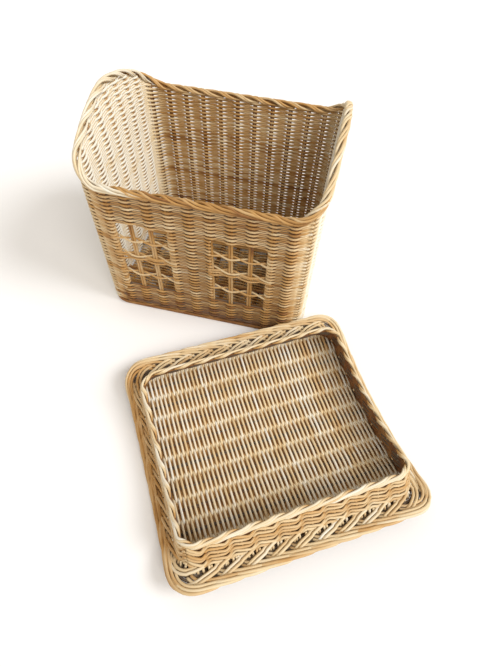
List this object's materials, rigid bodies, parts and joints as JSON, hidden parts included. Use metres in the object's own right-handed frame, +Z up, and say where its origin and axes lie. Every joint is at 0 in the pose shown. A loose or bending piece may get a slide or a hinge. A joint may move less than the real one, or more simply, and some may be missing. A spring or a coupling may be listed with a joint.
{
  "type": "toy storage basket",
  "caption": "Woven rattan toy basket with a flat back and front, raised arched ends, two lattice windows and a removable curved lid with a collar.",
  "frame": {"origin": "middle of the basket's flat underside", "axes": "+X along the basket's length towards its right end, +Y towards the back wall and away from the windows, +Z up. The lid lies open side up on the same floor, in front of the right corner."},
  "size_m": [0.5928, 0.7485, 0.3365],
  "materials": {
    "tan_rattan": "natural peeled rattan core, matt, mid tan",
    "pale_rattan": "natural peeled rattan core, matt, pale cream",
    "honey_rattan": "natural peeled rattan core, matt, honey brown",
    "border_rattan": "natural peeled rattan strands, slight sheen"
  },
  "bodies": {
    "basket": {"base_weave": "tan_rattan", "front_wall_weave": "tan_rattan", "right_end_weave": "pale_rattan", "back_wall_weave": "honey_rattan", "left_end_weave": "pale_rattan", "rim_border": "border_rattan", "long_stake_1": "pale_rattan", "long_stake_2": "pale_rattan", "long_stake_3": "pale_rattan", "long_stake_4": "pale_rattan", "long_stake_5": "pale_rattan", "long_stake_6": "pale_rattan", "long_stake_7": "pale_rattan", "long_stake_8": "pale_rattan", "long_stake_9": "pale_rattan", "cross_stake_1": "pale_rattan", "cross_stake_2": "pale_rattan", "cross_stake_3": "pale_rattan", "cross_stake_4": "pale_rattan", "cross_stake_5": "pale_rattan", "cross_stake_6": "pale_rattan", "cross_stake_7": "pale_rattan", "corner_stake_front_left_1": "pale_rattan", "corner_stake_front_right_1": "pale_rattan", "corner_stake_front_right_2": "pale_rattan", "corner_stake_back_right_1": "pale_rattan", "corner_stake_back_right_2": "pale_rattan", "corner_stake_back_left_1": "pale_rattan", "left_window_transom_1": "tan_rattan", "left_window_transom_2": "tan_rattan", "left_window_transom_3": "tan_rattan", "right_window_transom_1": "tan_rattan", "right_window_transom_2": "tan_rattan", "right_window_transom_3": "tan_rattan"},
    "lid": {"lid_panel_weave": "pale_rattan", "lid_stake_1": "pale_rattan", "lid_stake_2": "pale_rattan", "lid_stake_3": "pale_rattan", "lid_stake_4": "pale_rattan", "lid_stake_5": "pale_rattan", "lid_stake_6": "pale_rattan", "lid_stake_7": "pale_rattan", "lid_stake_8": "pale_rattan", "lid_stake_9": "pale_rattan", "lid_collar_front": "pale_rattan", "lid_collar_right": "pale_rattan", "lid_collar_back": "pale_rattan", "lid_collar_left": "pale_rattan", "lid_border": "border_rattan", "lid_outer_rim": "border_rattan"}
  },
  "joints": [
    {"name": "lid_lift", "type": "slide", "parent": "basket", "child": "lid", "axis": [0.0523, -0.0847, 0.995], "range_m": [0, 0.4]}
  ]
}
